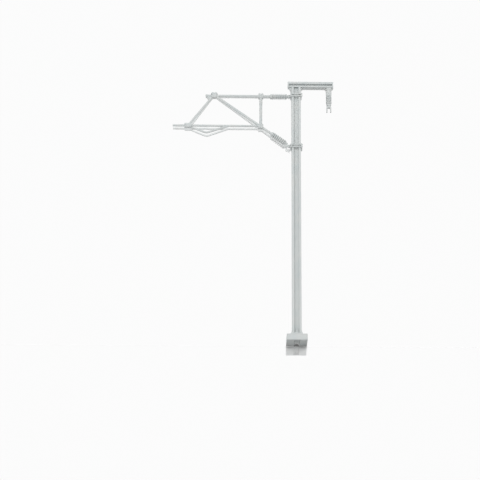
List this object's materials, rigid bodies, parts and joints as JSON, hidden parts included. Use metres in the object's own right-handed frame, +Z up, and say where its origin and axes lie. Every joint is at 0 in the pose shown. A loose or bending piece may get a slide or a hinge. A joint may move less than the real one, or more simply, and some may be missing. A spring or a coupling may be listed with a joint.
{
  "type": "model railway catenary mast",
  "caption": "Model railway catenary mast: an H-section mast on a foundation block, with a ribbed-insulator cantilever on one side and a feeder arm at the head.",
  "frame": {"origin": "centre of the foundation block's underside, on the mast's axis", "axes": "+Z up the mast; the cantilever reaches towards -X, over the track; the feeder arm towards +X; the front, where the mast's web recess faces the viewer, is -Y"},
  "size_m": [0.034, 0.005, 0.0578],
  "materials": {
    "moulded_plastic": "light grey injection-moulded plastic with a soft sheen"
  },
  "bodies": {
    "root": {"apex_clamp": "moulded_plastic", "arm_gussets": "moulded_plastic", "bracket_tail": "moulded_plastic", "bracket_tube": "moulded_plastic", "cross_arm": "moulded_plastic", "feeder_fork": "moulded_plastic", "feeder_hanger": "moulded_plastic", "feeder_insulator": "moulded_plastic", "feeder_sleeve": "moulded_plastic", "foundation_block": "moulded_plastic", "hinge_pins": "moulded_plastic", "knuckle": "moulded_plastic", "lower_insulator": "moulded_plastic", "lower_insulator_mast_cap": "moulded_plastic", "lower_insulator_tube_cap": "moulded_plastic", "lower_link": "moulded_plastic", "lower_mast_clamp": "moulded_plastic", "mast_column": "moulded_plastic", "mast_plinth": "moulded_plastic", "messenger_saddle": "moulded_plastic", "rake_tube": "moulded_plastic", "registration_clamp": "moulded_plastic", "registration_tube": "moulded_plastic", "side_gussets": "moulded_plastic", "steady_arm": "moulded_plastic", "strut": "moulded_plastic", "strut_clamp": "moulded_plastic", "strut_sleeve": "moulded_plastic", "top_tube": "moulded_plastic", "top_tube_stop": "moulded_plastic", "upper_insulator": "moulded_plastic", "upper_insulator_mast_cap": "moulded_plastic", "upper_insulator_tube_cap": "moulded_plastic", "upper_link": "moulded_plastic", "upper_mast_clamp": "moulded_plastic", "web_gussets": "moulded_plastic"}
  },
  "joints": []
}
